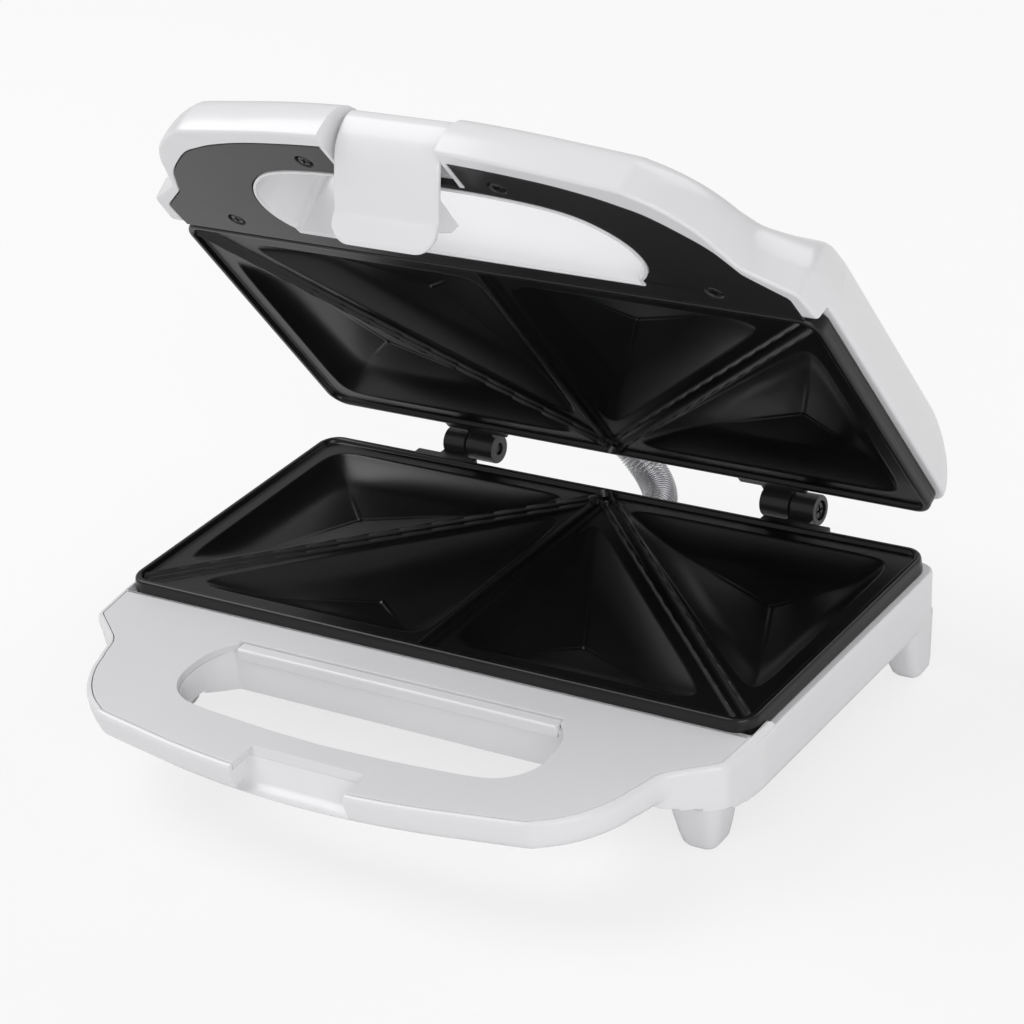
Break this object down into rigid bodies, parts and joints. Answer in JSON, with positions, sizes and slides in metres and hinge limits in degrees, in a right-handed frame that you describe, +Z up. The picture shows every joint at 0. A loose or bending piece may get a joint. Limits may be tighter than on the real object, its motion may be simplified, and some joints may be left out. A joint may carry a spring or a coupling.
{
  "type": "sandwich toaster",
  "caption": "Hinged electric sandwich toaster with pocketed non-stick plates, looped handles in front, a hanging front latch and a wire conduit spring behind.",
  "frame": {"origin": "on the table under the middle of the open toaster, at the plane of its feet", "axes": "+X to the right seen from the front, -Y towards the handles, +Z up"},
  "size_m": [0.235, 0.2162, 0.2019],
  "materials": {
    "white_plastic": "gloss",
    "black_plate": "satin non-stick coating",
    "black_plastic": "satin",
    "hinge_black": "satin",
    "screw_black": "satin",
    "screw_steel": "zinc plated",
    "element_steel": "heat tinted",
    "reflector_aluminium": "mill finish",
    "thermostat_metal": "plain",
    "fuse_sleeve": "glass-fibre sleeve",
    "terminal_ceramic": "ceramic",
    "bush_rubber": "satin",
    "spring_steel": "bright wire",
    "pin_steel": "plain",
    "lens_plastic": "clear red plastic",
    "lamp_glass": "clear"
  },
  "bodies": {
    "base": {"base_shell": "white_plastic", "base_handle_cover": "white_plastic", "base_plate": "black_plate", "base_heating_element": "element_steel", "base_reflector": "reflector_aluminium", "thermostat": "thermostat_metal", "thermal_fuse": "fuse_sleeve", "terminal_block": "terminal_ceramic", "base_plate_screws": "screw_steel", "base_cover_screws": "screw_steel", "cord_inlet_bush": "bush_rubber", "base_conduit_grommet": "bush_rubber", "base_hinge_brackets": "hinge_black", "base_hinge_screws": "screw_black", "hinge_pins": "screw_black", "conduit_spring": "spring_steel"},
    "lid": {"lid_shell": "white_plastic", "lid_handle_cover": "black_plastic", "lid_handle_screws": "screw_black", "lid_plate": "black_plate", "lid_heating_element": "element_steel", "lid_reflector": "reflector_aluminium", "lid_plate_screws": "screw_steel", "lid_hinge_brackets": "hinge_black", "lid_hinge_screws": "screw_black", "lid_conduit_grommet": "bush_rubber", "indicator_lenses": "lens_plastic", "indicator_lamps": "lamp_glass", "latch_pin": "pin_steel"},
    "latch": {"latch": "white_plastic"}
  },
  "joints": [
    {"name": "lid_hinge", "type": "hinge", "parent": "base", "child": "lid", "pos_m": [0, 0.08085, 0.041], "axis": [-1, 0, 0], "range_deg": [-53, 48.7], "deforming": ["conduit_spring"]},
    {"name": "latch_pivot", "type": "hinge", "parent": "lid", "child": "latch", "pos_m": [0, -0.01056, 0.19519], "axis": [-1, 0, 0], "range_deg": [0, 75]}
  ]
}
